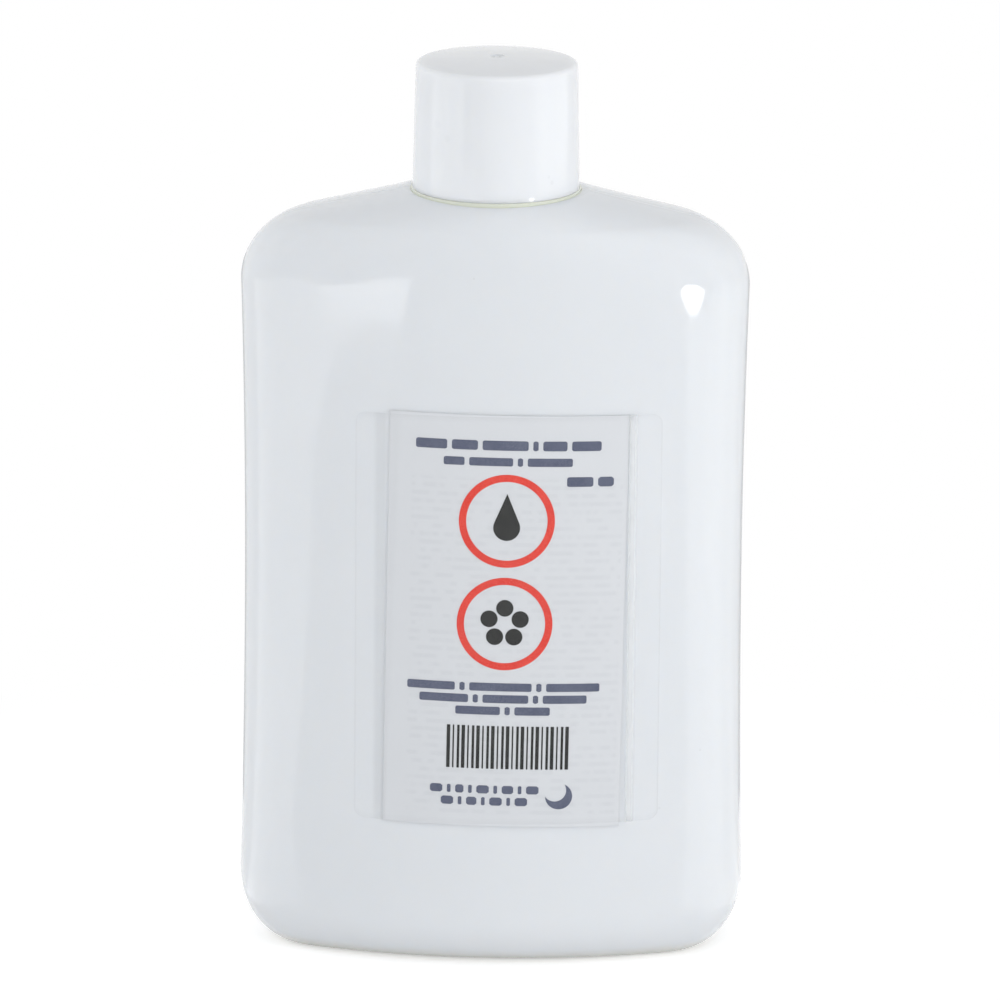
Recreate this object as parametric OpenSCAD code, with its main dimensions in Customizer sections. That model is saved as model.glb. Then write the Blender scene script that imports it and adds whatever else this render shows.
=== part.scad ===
// White oval bottle with a tall plain screw cap and a folded leaflet label.
// Millimetres, +Z up, origin under the middle of the base, label towards -Y.

/* [Body] */
// Width of the body across its shoulders
body_w = 98; // [92:1:106]
// Depth of the body from front to back
body_d = 41; // [38:1:46]
// Radius of the rounded ends of the oval section
end_r = 12.9; // [11:0.1:15]
// Thickness of the blown wall
wall = 1; // [0.8:0.1:1.4]
// How far each side draws in at the waist
waist_in = 0.8; // [0:0.1:2]
// Height of the waist above the base
waist_z = 78; // [65:1:90]

/* [Shoulder] */
// Height of the flat seat round the neck
seat_h = 150.4; // [145:0.1:160]
// Width of the seat along the body
seat_w = 36; // [34:1:40]
// Depth of the seat from front to back
seat_d = 30.8; // [29:0.1:33]
// Fall of the shoulder towards each end, in degrees
shoulder_slope = 13; // [9:1:17]
// Width of the rounded shoulder corner
corner_w = 15; // [12:1:18]
// Height of the rounded shoulder corner
corner_h = 14; // [12:1:18]
// Height over which the front rolls back into the seat
roll_h = 10; // [8:1:13]

/* [Heel] */
// Inset of the foot at each end
heel_w = 10.4; // [8:0.1:13]
// Height of the heel curve at the ends
heel_h = 14; // [11:1:17]
// Inset of the foot at the front and the back
heel_d = 7.5; // [6:0.1:9]
// Height of the heel curve at the front and the back
heel_roll_h = 9.5; // [7:0.1:11]
// Width of the ring that the bottle stands on
foot_w = 3; // [2:0.1:4]
// Rise of the hollowed base above the ring
pushup = 2.5; // [1.5:0.1:4]

/* [Neck] */
// Radius of the neck between its threads
neck_r = 12.45; // [12:0.01:13]
// Radius of the pouring bore
bore_r = 10.4; // [9.5:0.1:11]
// Height of the neck above its seat
neck_h = 22.6; // [20:0.1:25]
// Bevel at the mouth and at the foot of the neck
neck_bevel = 0.6; // [0.3:0.1:0.9]
// How far the bead stands out from the neck
bead_out = 1.1; // [0.6:0.1:1.2]
// Height of the bead's middle above the seat
bead_z = 6.5; // [5:0.1:8]
// Width of the bead
bead_w = 1.8; // [1.2:0.1:2.4]
// Outer radius of the low ring at the foot of the neck
foot_ring_r = 16.4; // [16.2:0.1:16.8]
// Height of the low ring above the seat
foot_ring_h = 0.5; // [0.3:0.05:0.7]

/* [Thread] */
// Rise of the thread in one turn
thread_pitch = 4.2; // [3.6:0.1:5]
// Turns of thread on the neck
neck_turns = 1.5; // [1.2:0.1:1.8]
// Turns of thread inside the cap
cap_turns = 1.25; // [1:0.05:1.5]
// Height of the neck's ridge
neck_ridge = 1.25; // [1:0.05:1.3]
// Height of the cap's ridge
cap_ridge = 1.15; // [0.9:0.05:1.2]
// Width of a ridge where it leaves the wall
ridge_base = 2.1; // [1.8:0.1:2.3]
// Width of a ridge along its crest
ridge_crest = 0.95; // [0.7:0.05:1.1]
// Distance from the mouth to the first ridge's middle
thread_start = 2.2; // [1.8:0.1:2.8]
// Play between the loaded flanks
flank_gap = 0.25; // [0.15:0.01:0.35]

/* [Cap] */
// Outer radius of the cap at its rim
cap_rim_r = 16.1; // [16:0.1:17]
// Draft of the cap's side, inwards from the rim to the top
cap_draft = 0.5; // [0:0.1:0.8]
// Radius of the cap's rounded top edge
cap_edge_r = 1; // [0.6:0.1:2]
// Thickness of the cap's top at its edge
cap_top_t = 1.1; // [1:0.1:2.2]
// Rise of the cap's crowned top from its edge to its middle
cap_crown = 1; // [0.4:0.1:1.5]
// Gap between the cap's rim and the low ring
cap_gap = 0.1; // [0.05:0.05:0.5]
// Gap between the cap's skirt and the neck's ridges
skirt_gap = 0.4; // [0.3:0.05:0.6]
// Radius of the moulding gate's dimple
gate_r = 1.4; // [1:0.1:2.5]
// Depth of the moulding gate's dimple
gate_t = 0.25; // [0.15:0.05:0.6]
// Thickness of the foam liner
liner_t = 1.2; // [0.8:0.1:2]
// Gap between the liner and the mouth, and round the liner
liner_gap = 0.1; // [0.05:0.01:0.2]

/* [Leaflet] */
// Width of the folded leaflet
leaf_w = 45.8; // [40:0.1:48]
// Height of the leaflet
leaf_h = 81.8; // [76:0.1:84]
// Sideways place of the leaflet's middle
leaf_x = 3.1; // [0:0.1:5]
// Height of the leaflet's middle
leaf_z = 69.6; // [66:0.1:72]
// Clockwise tilt of the leaflet as seen, in degrees
leaf_tilt = 0.8; // [0:0.1:1.5]
// Thickness of the paper
paper_t = 0.12; // [0.08:0.01:0.2]
// Gap between the two plies and behind the leaflet
ply_gap = 0.06; // [0.03:0.01:0.1]
// Thickness of the ink
ink_t = 0.05; // [0.03:0.01:0.08]

/* [Cover film] */
// Width of the clear cover film
film_w = 58.8; // [56:0.1:62]
// Height of the film
film_h = 81; // [72:0.1:84]
// Sideways place of the film's middle
film_x = 3.5; // [2:0.1:4]
// Height of the film's middle
film_z = 69.7; // [66:0.1:72]
// Radius of the film's corners
film_corner = 2; // [1:0.1:4]
// Thickness of the film
film_t = 0.08; // [0.05:0.01:0.12]
// Width over which the film drops from the leaflet to the bottle
tent_w = 2; // [1.5:0.1:3]

/* [Print] */
// Diameter of the two red rings
ring_d = 18.4; // [16:0.1:20]
// Width of the red line
ring_line = 1.4; // [1:0.1:2]
// Distance between the middles of the rings
ring_step = 20.4; // [20.2:0.1:22]
// Height of the upper ring's middle above the leaflet's
ring_z = 20.1; // [18:0.1:22]
// Width of the stripe block
stripes_w = 23.8; // [20:0.1:28]
// Height of the stripe block
stripes_h = 8.6; // [6:0.1:10]
// Height of the stripe block's middle below the leaflet's middle
stripes_z = 25; // [24:0.1:27]
// Sideways place of the stripe block's middle in the leaflet
stripes_x = 1.1; // [0:0.1:2]
// Number of stripes
stripes = 25; // [15:1:30]
// Height of the heading's word bars
word_h = 1.9; // [1.4:0.1:2.3]
// Gap between two word bars
word_gap = 0.9; // [0.5:0.1:1.4]

/* [Hidden] */
$fn = 96;

half_w = body_w / 2;
half_d = body_d / 2;
panel_r = ((half_w - end_r) ^ 2 + half_d ^ 2 - end_r ^ 2) / (2 * (half_d - end_r));
panel_y = panel_r - half_d;
roll_z = seat_h - roll_h;
roll_in = half_d - seat_d / 2;
mouth_z = seat_h + neck_h;

// Rings of points along the body, and steps round a quarter of each ring
end_steps = 8;
panel_steps = 8;
heel_rings = 7;
side_rings = 8;
corner_rings = 8;
slope_rings = 6;
base_rings = 4;
ring_count = 4 * (end_steps + panel_steps);
tangent = atan2(panel_y, half_w - end_r);

// Where the corner's curve meets the straight fall of the shoulder, for a wall set in by t
function corner_end(t) = atan2(corner_h - t, (corner_w - t) * tan(shoulder_slope));
function corner_x(t) = half_w - corner_w + (corner_w - t) * cos(corner_end(t));
corner_z = seat_h - (corner_x(0) - seat_w / 2) * tan(shoulder_slope) - corner_h * sin(corner_end(0));
function corner_top(t) = corner_z + (corner_h - t) * sin(corner_end(t));

// Half width of the side at a height, drawn in at the waist
function waist_part(z) =
    z > waist_z ? (z - waist_z) / (corner_z - waist_z) : (waist_z - z) / (waist_z - heel_h);
function side_w(z) = half_w - waist_in * (1 - min(1, waist_part(z)) ^ 2);

// Half depth at a height, for a wall set in by t
function arc_in(u) = sqrt(max(0, 1 - u ^ 2));
function side_d(z, t) =
    z < heel_roll_h ? half_d - heel_d + (heel_d - t) * arc_in((heel_roll_h - z) / (heel_roll_h - t)) :
    z > roll_z ? half_d - roll_in + (roll_in - t) * arc_in((z - roll_z) / (roll_h - t)) :
    half_d - t;

// End radius at a height: the panel's radius stays the same where the side draws in
function full_end_r(z) = (2 * panel_r * half_d - side_w(z) ^ 2 - half_d ^ 2) / (2 * (panel_r - side_w(z)));
function end_r_at(z, b, t) = (full_end_r(z) - t) * b / (half_d - t);

// One ring of an oval made of four tangent arcs, at the same surface angles on every ring
quarter = concat(
    [for (i = [0:end_steps - 1]) tangent * i / end_steps],
    [for (i = [0:panel_steps]) tangent + (90 - tangent) * i / panel_steps]);
last = len(quarter) - 1;
turn = concat(
    quarter,
    [for (i = [1:last]) 180 - quarter[last - i]],
    [for (i = [1:last]) 180 + quarter[i]],
    [for (i = [1:last - 1]) 360 - quarter[last - i]]);
function oval_point(w, r, c, front, q, sx, sy, z) = q < atan2(c, w - r) ?
    [sx * (w - r + r * cos(q)), sy * r * sin(q), z] :
    [sx * front * cos(q), sy * (front * sin(q) - c), z];
function oval(w, d, r, z) =
    let (c = ((w - r) ^ 2 - (d - r) ^ 2) / (2 * (d - r)))
    [for (q = turn) oval_point(w, r, c, d + c, asin(abs(sin(q))), sign(cos(q)), sign(sin(q)), z)];
function body_ring(w, z, t) = oval(w, side_d(z, t), end_r_at(z, side_d(z, t), t), z);

// Rings of the hollowed base, with the bottom raised by t
foot_a = half_w - heel_w - foot_w;
foot_b = half_d - heel_d - foot_w;
foot_r = foot_b * end_r / half_d;
dome_angle = 84;
function dome(t) = [for (i = [base_rings - 1:-1:0])
    let (q = dome_angle * i / (base_rings - 1), s = cos(q))
    oval(foot_a * s, foot_b * s, foot_r * s, t + pushup * sin(q))];

// Rings from the foot to the seat, set in by t
function wall_rings(t) = concat(
    [for (i = [0:heel_rings]) let (q = 90 * i / heel_rings, z = heel_h - (heel_h - t) * cos(q))
        body_ring(side_w(z) - heel_w + (heel_w - t) * sin(q), z, t)],
    [for (i = [1:side_rings]) let (z = heel_h + (corner_z - heel_h) * i / side_rings)
        body_ring(side_w(z) - t, z, t)],
    [for (i = [1:corner_rings]) let (q = corner_end(t) * i / corner_rings)
        body_ring(half_w - corner_w + (corner_w - t) * cos(q), corner_z + (corner_h - t) * sin(q), t)],
    [for (i = [1:slope_rings])
        let (z = corner_top(t) + (seat_h - t - corner_top(t)) * sin(90 * i / slope_rings))
        body_ring(corner_x(t) - (z - corner_top(t)) / tan(shoulder_slope), z, t)]);

// The closed skin runs up the outside, over the edge of the hole and down the inside
hole_r = (neck_r + bore_r) / 2;
function hole_ring(z) = oval(hole_r, hole_r, hole_r / 2, z);
inside_rings = wall_rings(wall);
skin = concat(
    dome(0), wall_rings(0), [hole_ring(seat_h), hole_ring(seat_h - wall)],
    [for (i = [len(inside_rings) - 1:-1:0]) inside_rings[i]],
    [for (i = [0:base_rings - 1]) dome(wall)[base_rings - 1 - i]]);

module shell() {
    n = ring_count;
    rings = len(skin);
    polyhedron(
        points = [for (ring = skin) each ring],
        faces = concat(
            [[for (i = [0:n - 1]) i]],
            [for (k = [0:rings - 2], i = [0:n - 1]) let (a = k * n + i, b = k * n + (i + 1) % n)
                each [[a, a + n, b], [b, a + n, b + n]]],
            [[for (i = [n - 1:-1:0]) (rings - 1) * n + i]]));
}

// A ridge that climbs a right-hand helix from angle 0, fading in and out at its ends
ridge_steps = 36;
ridge_sink = 0.3;
fade_turns = 0.08;
function fade(turns, total) = max(0, min(1, min(turns, total - turns) / fade_turns));
module ridge(root, out, turns, z) {
    steps = round(turns * ridge_steps);
    sink = out > 0 ? -ridge_sink : ridge_sink;
    ring = function(i)
        let (done = i / ridge_steps, q = 360 * done, h = z + thread_pitch * done)
        let (f = fade(done, steps / ridge_steps))
        [for (p = [[root + sink, -ridge_base / 2], [root + out * f, -ridge_crest / 2],
                   [root + out * f, ridge_crest / 2], [root + sink, ridge_base / 2]])
            [p[0] * cos(q), p[0] * sin(q), h + p[1]]];
    way = out > 0 ? 1 : -1;
    polyhedron(
        points = [for (i = [0:steps]) each ring(i)],
        faces = concat(
            [way > 0 ? [3, 2, 1, 0] : [0, 1, 2, 3]],
            [for (i = [0:steps - 1], k = [0:3])
                let (a = 4 * i + k, b = 4 * i + (k + 1) % 4)
                each way > 0 ? [[a, b, a + 4], [b, b + 4, a + 4]] : [[a, a + 4, b], [b, a + 4, b + 4]]],
            [way > 0 ? [for (k = [0:3]) 4 * steps + k] : [for (k = [3:-1:0]) 4 * steps + k]]));
}

foot_ring_z = seat_h + foot_ring_h;
ring_bevel = 0.15;
module neck() {
    low = seat_h - wall / 2;
    bead_low = seat_h + bead_z - bead_w / 2;
    bead_high = seat_h + bead_z + bead_w / 2;
    rotate_extrude() polygon([
        [bore_r, low], [foot_ring_r, low],
        [foot_ring_r, foot_ring_z - ring_bevel], [foot_ring_r - ring_bevel, foot_ring_z],
        [neck_r + neck_bevel, foot_ring_z], [neck_r, foot_ring_z + neck_bevel],
        [neck_r, bead_low - bead_out / 2], [neck_r + bead_out, bead_low],
        [neck_r + bead_out, bead_high], [neck_r, bead_high + bead_out / 2],
        [neck_r, mouth_z - neck_bevel], [neck_r - neck_bevel, mouth_z], [bore_r, mouth_z]]);
}

neck_thread_z = mouth_z - thread_start - neck_turns * thread_pitch;
module bottle() {
    color("white") {
        shell();
        neck();
        ridge(neck_r, neck_ridge, neck_turns, neck_thread_z);
    }
}

// The cap fits over the neck's ridges, and its own ridge lies under them
skirt_r = neck_r + neck_ridge + skirt_gap;
rim_z = foot_ring_z + cap_gap;
liner_z = mouth_z + liner_gap;
ceiling_z = liner_z + liner_t;
cap_top_z = ceiling_z + cap_top_t;
rim_bevel = 0.15;
gate_pip_r = gate_r / 3;
gate_pip_h = gate_t * 0.4;
// Width of a ridge half way over the length that both ridges share
mid_r = (neck_r + neck_ridge + skirt_r - cap_ridge) / 2;
function ridge_width(depth, height) = ridge_base + (ridge_crest - ridge_base) * depth / height;
// The cap's ridge starts this share of a turn later than the neck's, on the same helix
turns_short = neck_turns - cap_turns;
flank_step = flank_gap
    + (ridge_width(mid_r - neck_r, neck_ridge) + ridge_width(skirt_r - mid_r, cap_ridge)) / 2;
// The top is part of a sphere that runs smoothly into the rounded edge
edge_x = cap_rim_r - cap_draft - cap_edge_r;
crown_slope = 2 * atan(cap_crown / edge_x);
crown_r = cap_edge_r + edge_x / sin(crown_slope);
crown_top_z = cap_top_z + cap_crown;
edge_steps = 10;
edge_points = [for (i = [0:edge_steps]) let (q = i / edge_steps * (90 - crown_slope))
    [edge_x + cap_edge_r * cos(q), cap_top_z - cap_edge_r * (1 - sin(q))]];
crown_steps = 8;
crown_points = [for (i = [1:crown_steps]) let (q = crown_slope * (1 - i / crown_steps))
    [crown_r * sin(q), crown_top_z - crown_r * (1 - cos(q))]];
module cap() {
    color("white") {
        difference() {
            rotate_extrude() polygon(concat(
                [[skirt_r + rim_bevel, rim_z], [cap_rim_r - rim_bevel, rim_z]],
                [[cap_rim_r, rim_z + rim_bevel]],
                edge_points, crown_points,
                [[0, ceiling_z], [skirt_r, ceiling_z], [skirt_r, rim_z + rim_bevel]]));
            translate([0, 0, crown_top_z - gate_t]) difference() {
                cylinder(r = gate_r, h = gate_t + 1);
                translate([0, 0, -1]) cylinder(r = gate_pip_r, h = gate_pip_h + 1);
            }
        }
        rotate(360 * turns_short)
            ridge(skirt_r, -cap_ridge, cap_turns, neck_thread_z - flank_step + thread_pitch * turns_short);
    }
}

module cap_liner() {
    color("gainsboro") translate([0, 0, liner_z]) cylinder(r = skirt_r - liner_gap, h = liner_t);
}

// Point of the front panel's surface, raised by up
function front_y(x, up) = panel_y - sqrt((panel_r + up) ^ 2 - x ^ 2);

// The leaflet is one sheet folded once at its left edge, with its back ply on the bottle
leaf_t = 2 * paper_t + ply_gap;
leaf_up = ply_gap + leaf_t;
leaf_steps = 24;
fold_steps = 6;
function ply(up, from, to) = [for (i = [0:leaf_steps]) [from + (to - from) * i / leaf_steps, up]];
function fold(r) = [for (i = [1:fold_steps - 1]) let (q = 180 * i / fold_steps)
    [-leaf_w / 2 + leaf_t / 2 - r * sin(q), ply_gap + leaf_t / 2 - r * cos(q)]];
function sheet_side(r) = concat(
    ply(ply_gap + leaf_t / 2 - r, leaf_w / 2, -leaf_w / 2 + leaf_t / 2),
    fold(r),
    ply(ply_gap + leaf_t / 2 + r, -leaf_w / 2 + leaf_t / 2, leaf_w / 2));
function leaf_point(p, v) =
    let (x = leaf_x + p[0] * cos(leaf_tilt) + v * sin(leaf_tilt))
    [x, front_y(x, p[1]), leaf_z - p[0] * sin(leaf_tilt) + v * cos(leaf_tilt)];
module leaflet() {
    side = concat(sheet_side(leaf_t / 2), sheet_side(ply_gap / 2));
    n = len(side) / 2;
    m = 2 * n;
    points = [for (v = [-leaf_h / 2, leaf_h / 2], p = side) leaf_point(p, v)];
    color("ghostwhite") polyhedron(points, faces = concat(
        [for (i = [0:n - 2]) each [
            [i, i + 1, n + i + 1, n + i], [m + i, m + n + i, m + n + i + 1, m + i + 1],
            [i, m + i, m + i + 1, i + 1], [n + i, n + i + 1, m + n + i + 1, m + n + i]]],
        [[0, n, m + n, m], [n - 1, m + n - 1, m + m - 1, m - 1]]));
}

// The clear film runs over the leaflet and down to the bottle at both sides
ink_gap = 0.01;
film_gap = 0.01;
film_up = leaf_up + ink_gap + ink_t + film_gap;
tent_edge = 0.3;
tent_half = leaf_w / 2 + leaf_h / 2 * sin(leaf_tilt) + tent_edge;
draw_reach = half_d + 5;
film_steps = 60;
function film_lift(x) = film_up * max(0, min(1, (tent_half + tent_w - abs(x - leaf_x)) / tent_w));
film_line = [for (i = [0:film_steps]) film_x - film_w / 2 + film_w * i / film_steps];
module cover_film() {
    flat_w = film_w / 2 - film_corner;
    flat_h = film_h / 2 - film_corner;
    color("aliceblue", 0.3) intersection() {
        translate([0, 0, film_z - film_h / 2]) linear_extrude(film_h) polygon(concat(
            [for (x = film_line) [x, front_y(x, film_lift(x) + film_t)]],
            [for (i = [film_steps:-1:0]) [film_line[i], front_y(film_line[i], film_lift(film_line[i]))]]));
        translate([film_x, 0, film_z]) rotate([90, 0, 0]) linear_extrude(draw_reach) {
            square([2 * flat_w, film_h], center = true);
            square([film_w, 2 * flat_h], center = true);
            for (x = [-flat_w, flat_w], z = [-flat_h, flat_h]) translate([x, z]) circle(r = film_corner);
        }
    }
}

// Presses a flat drawing, in the leaflet's own plane, into a skin of ink on the leaflet
module ink() {
    ink_r = panel_r + leaf_up + ink_gap;
    intersection() {
        translate([0, panel_y, leaf_z - leaf_h]) difference() {
            cylinder(r = ink_r + ink_t, h = 2 * leaf_h, $fn = 360);
            translate([0, 0, -1]) cylinder(r = ink_r, h = 2 * leaf_h + 2, $fn = 360);
        }
        translate([leaf_x, 0, leaf_z]) rotate([0, leaf_tilt, 0]) rotate([90, 0, 0])
            linear_extrude(draw_reach) children();
    }
}

// A centred row of bars, one for each word
function sum_to(list, i) = i < 0 ? 0 : list[i] + sum_to(list, i - 1);
module words(lengths, z, h, x = 0) {
    total = sum_to(lengths, len(lengths) - 1) + word_gap * (len(lengths) - 1);
    for (i = [0:len(lengths) - 1])
        translate([x - total / 2 + sum_to(lengths, i - 1) + word_gap * i, z - h / 2])
            square([lengths[i], h]);
}

// Rows of word bars above, between and below the rings, in the leaflet's plane
ring_low = ring_z - ring_step;
small_h = word_h * 0.85;
row_step = word_h * 1.25;
heading_z = ring_z + ring_d / 2 + word_h * 3;
subtitle_z = heading_z - word_h * 1.7;
aside_z = heading_z - word_h * 3.7;
aside_x = leaf_w / 2 - 7.1;
notes_z = ring_low - ring_d / 2 - word_h * 1.8;
codes_z = -stripes_z - stripes_h / 2 - word_h * 2.2;
codes_x = -3.2;
crescent_r = 2.6;
crescent_x = 11.2;
module slate_print() {
    color("slategray") ink() {
        words([6, 5, 8.8, 1, 4.6, 5.6], heading_z, word_h);
        words([4, 8.4, 1, 8.6], subtitle_z, small_h);
        words([5, 3], aside_z, word_h, x = aside_x);
        words([9.2, 1, 12, 1, 10.2], notes_z, small_h);
        words([9.4, 1, 8.8, 1, 8.4], notes_z - row_step, small_h);
        words([8.6, 1, 6.8], notes_z - 2 * row_step, small_h);
        words([2.4, 0.7, 1.6, 0.7, 2.4, 0.7, 2.2, 0.7, 2.4], codes_z, small_h, x = codes_x);
        words([2.4, 0.7, 2, 0.7, 2.4, 0.7, 2.4], codes_z - row_step, small_h, x = codes_x);
        translate([crescent_x, codes_z - row_step / 2]) difference() {
            circle(r = crescent_r);
            translate([-crescent_r * 0.3, crescent_r * 0.45]) circle(r = crescent_r * 0.85);
        }
    }
}

module red_print() {
    color("tomato") ink() for (z = [ring_z, ring_low]) translate([0, z]) difference() {
        circle(d = ring_d);
        circle(d = ring_d - 2 * ring_line);
    }
}

// A drop with a pointed top, and a flower of five round petals
drop_r = ring_d * 0.14;
drop_steps = 24;
drop_tip = 2.6;
petal_r = ring_d * 0.09;
petal_out = petal_r * 1.9;
petals = 5;
stripe_step = stripes_w / stripes;
stripe_shares = [0.7, 0.3, 0.5];
module drop() {
    edge = asin(1 / drop_tip);
    polygon(concat(
        [for (i = [0:drop_steps]) let (q = 180 - edge + (180 + 2 * edge) * i / drop_steps)
            [drop_r * cos(q), drop_r * sin(q)]],
        [[0, drop_r * drop_tip]]));
}
module black_print() {
    color("black") ink() {
        translate([0, ring_z - drop_r / 2]) drop();
        translate([0, ring_low]) for (i = [0:petals - 1])
            rotate(90 + 360 * i / petals) translate([petal_out, 0]) circle(r = petal_r);
        for (i = [0:stripes - 1]) translate([stripes_x + (i - (stripes - 1) / 2) * stripe_step, -stripes_z])
            square([stripe_step * stripe_shares[i % 3], stripes_h], center = true);
    }
}

bottle();
cap();
cap_liner();
leaflet();
cover_film();
slate_print();
red_print();
black_print();
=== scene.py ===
import math

import bmesh
import bpy
import numpy as np
from mathutils import Matrix, Vector


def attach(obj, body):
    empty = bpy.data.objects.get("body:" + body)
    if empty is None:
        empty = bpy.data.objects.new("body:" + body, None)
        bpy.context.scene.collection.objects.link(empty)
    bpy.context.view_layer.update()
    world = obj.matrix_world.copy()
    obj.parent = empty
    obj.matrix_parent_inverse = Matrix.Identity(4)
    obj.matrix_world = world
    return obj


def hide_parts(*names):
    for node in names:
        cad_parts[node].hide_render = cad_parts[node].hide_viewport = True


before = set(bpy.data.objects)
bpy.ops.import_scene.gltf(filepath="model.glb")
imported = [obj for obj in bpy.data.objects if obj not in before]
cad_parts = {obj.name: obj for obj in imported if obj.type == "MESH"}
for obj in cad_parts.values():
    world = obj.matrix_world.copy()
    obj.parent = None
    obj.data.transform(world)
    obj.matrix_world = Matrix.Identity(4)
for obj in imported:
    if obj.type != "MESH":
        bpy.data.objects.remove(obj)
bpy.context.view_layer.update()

# A white oval bottle with a screw cap and a folded leaflet under clear film.
# Lengths are in metres and repeat the sizes that the solids were made with.
MM = 0.001

# Body
HALF_W = 49 * MM
HALF_D = 20.5 * MM
END_R = 12.9 * MM
WALL = 1 * MM
WAIST_IN = 0.8 * MM
WAIST_Z = 78 * MM
SEAT_Z = 150.4 * MM
SEAT_HALF_W = 18 * MM
SEAT_HALF_D = 15.4 * MM
SHOULDER_SLOPE = math.radians(13)
CORNER_W = 15 * MM
CORNER_H = 14 * MM
ROLL_H = 10 * MM
HEEL_W = 10.4 * MM
HEEL_H = 14 * MM
HEEL_D = 7.5 * MM
HEEL_ROLL_H = 9.5 * MM
FOOT_W = 3 * MM
PUSHUP = 2.5 * MM
PANEL_R = ((HALF_W - END_R) ** 2 + HALF_D ** 2 - END_R ** 2) / (2 * (HALF_D - END_R))
PANEL_Y = PANEL_R - HALF_D

# Neck and thread
NECK_R = 12.45 * MM
BORE_R = 10.4 * MM
MOUTH_Z = SEAT_Z + 22.6 * MM
NECK_BEVEL = 0.6 * MM
BEAD_OUT = 1.1 * MM
BEAD_Z = SEAT_Z + 6.5 * MM
BEAD_W = 1.8 * MM
FOOT_RING_R = 16.4 * MM
FOOT_RING_Z = SEAT_Z + 0.5 * MM
RING_BEVEL = 0.15 * MM
PITCH = 4.2 * MM
NECK_TURNS = 1.5
CAP_TURNS = 1.25
NECK_RIDGE = 1.25 * MM
CAP_RIDGE = 1.15 * MM
RIDGE_BASE = 2.1 * MM
RIDGE_CREST = 0.95 * MM
FLANK_GAP = 0.25 * MM
FADE_TURNS = 0.08
NECK_THREAD_Z = MOUTH_Z - 2.2 * MM - NECK_TURNS * PITCH

# Cap
CAP_RIM_R = 16.1 * MM
CAP_DRAFT = 0.5 * MM
CAP_EDGE_R = 1 * MM
SKIRT_R = NECK_R + NECK_RIDGE + 0.4 * MM
RIM_Z = FOOT_RING_Z + 0.02 * MM
RIM_BEVEL = 0.04 * MM
CEILING_Z = MOUTH_Z + 1.3 * MM
CAP_TOP_Z = CEILING_Z + 1.1 * MM
CAP_CROWN = 1 * MM
CROWN_Z = CAP_TOP_Z + CAP_CROWN
GATE_R = 1.4 * MM
GATE_T = 0.25 * MM

# Leaflet and film
LEAF_W = 45.8 * MM
LEAF_H = 81.8 * MM
LEAF_X = 3.1 * MM
LEAF_Z = 69.6 * MM
LEAF_TILT = math.radians(0.8)
PAPER_T = 0.07 * MM
PLY_GAP = 0.02 * MM
LEAF_T = 2 * PAPER_T + PLY_GAP
LEAF_UP = PLY_GAP + LEAF_T
INK_T = 0.05 * MM
INK_GAP = 0.01 * MM
FILM_W = 58.8 * MM
FILM_H = 81 * MM
FILM_X = 3.5 * MM
FILM_Z = 69.7 * MM
FILM_CORNER = 2 * MM
FILM_T = 0.08 * MM
FILM_UP = LEAF_UP + INK_T + 2 * INK_GAP
TENT_W = 2 * MM
TENT_HALF = LEAF_W / 2 + LEAF_H / 2 * math.sin(LEAF_TILT) + 0.3 * MM

# Print
RING_D = 18.4 * MM
RING_LINE = 1.4 * MM
RING_Z = 20.1 * MM
RING_LOW = RING_Z - 20.4 * MM
STRIPES_W = 23.8 * MM
STRIPES_H = 8.6 * MM
STRIPES_X = 1.1 * MM
STRIPES_Z = -25 * MM
STRIPES = 25
WORD_H = 1.9 * MM
WORD_GAP = 0.9 * MM


def smooth(t):
    """Goes from 0 to 1 with level ends as t does."""
    t = np.clip(t, 0.0, 1.0)
    return t * t * (3 - 2 * t)


def grid_faces(rows, columns, wrap=False, start=0):
    """The quads of a grid of points, closed round its columns where wrap says so."""
    faces = []
    for k in range(rows - 1):
        for i in range(columns if wrap else columns - 1):
            a = start + k * columns + i
            b = start + k * columns + (i + 1) % columns
            faces.append((a, b, b + columns, a + columns))
    return faces


def new_piece(name, points, faces, material, body, node):
    """Makes a smooth mesh that rides on a body and stands for a node."""
    mesh = bpy.data.meshes.new(name)
    mesh.from_pydata([tuple(p) for p in points], [], faces)
    mesh.validate()
    skin = bmesh.new()
    skin.from_mesh(mesh)
    bmesh.ops.remove_doubles(skin, verts=skin.verts, dist=1e-7)
    bmesh.ops.recalc_face_normals(skin, faces=skin.faces)
    skin.to_mesh(mesh)
    skin.free()
    mesh.shade_smooth()
    mesh.materials.append(material)
    piece = bpy.data.objects.new(name, mesh)
    bpy.context.scene.collection.objects.link(piece)
    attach(piece, body)
    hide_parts(node)
    return piece


# Shape of the body

def corner_end(t):
    return math.atan2(CORNER_H - t, (CORNER_W - t) * math.tan(SHOULDER_SLOPE))


def corner_x(t):
    return HALF_W - CORNER_W + (CORNER_W - t) * math.cos(corner_end(t))


CORNER_Z = (SEAT_Z - (corner_x(0) - SEAT_HALF_W) * math.tan(SHOULDER_SLOPE)
            - CORNER_H * math.sin(corner_end(0)))


def corner_top(t):
    return CORNER_Z + (CORNER_H - t) * math.sin(corner_end(t))


def side_w(z):
    """Half width of the side at a height, drawn in at the waist."""
    part = (z - WAIST_Z) / (CORNER_Z - WAIST_Z) if z > WAIST_Z else (WAIST_Z - z) / (WAIST_Z - HEEL_H)
    return HALF_W - WAIST_IN * (1 - min(1, part) ** 2)


def side_d(z, t):
    """Half depth at a height, for a wall set in by t."""
    if z < HEEL_ROLL_H:
        part = (HEEL_ROLL_H - z) / (HEEL_ROLL_H - t)
        return HALF_D - HEEL_D + (HEEL_D - t) * math.sqrt(max(0, 1 - part ** 2))
    roll_z = SEAT_Z - ROLL_H
    if z > roll_z:
        roll_in = HALF_D - SEAT_HALF_D
        part = (z - roll_z) / (ROLL_H - t)
        return HALF_D - roll_in + (roll_in - t) * math.sqrt(max(0, 1 - part ** 2))
    return HALF_D - t


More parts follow.
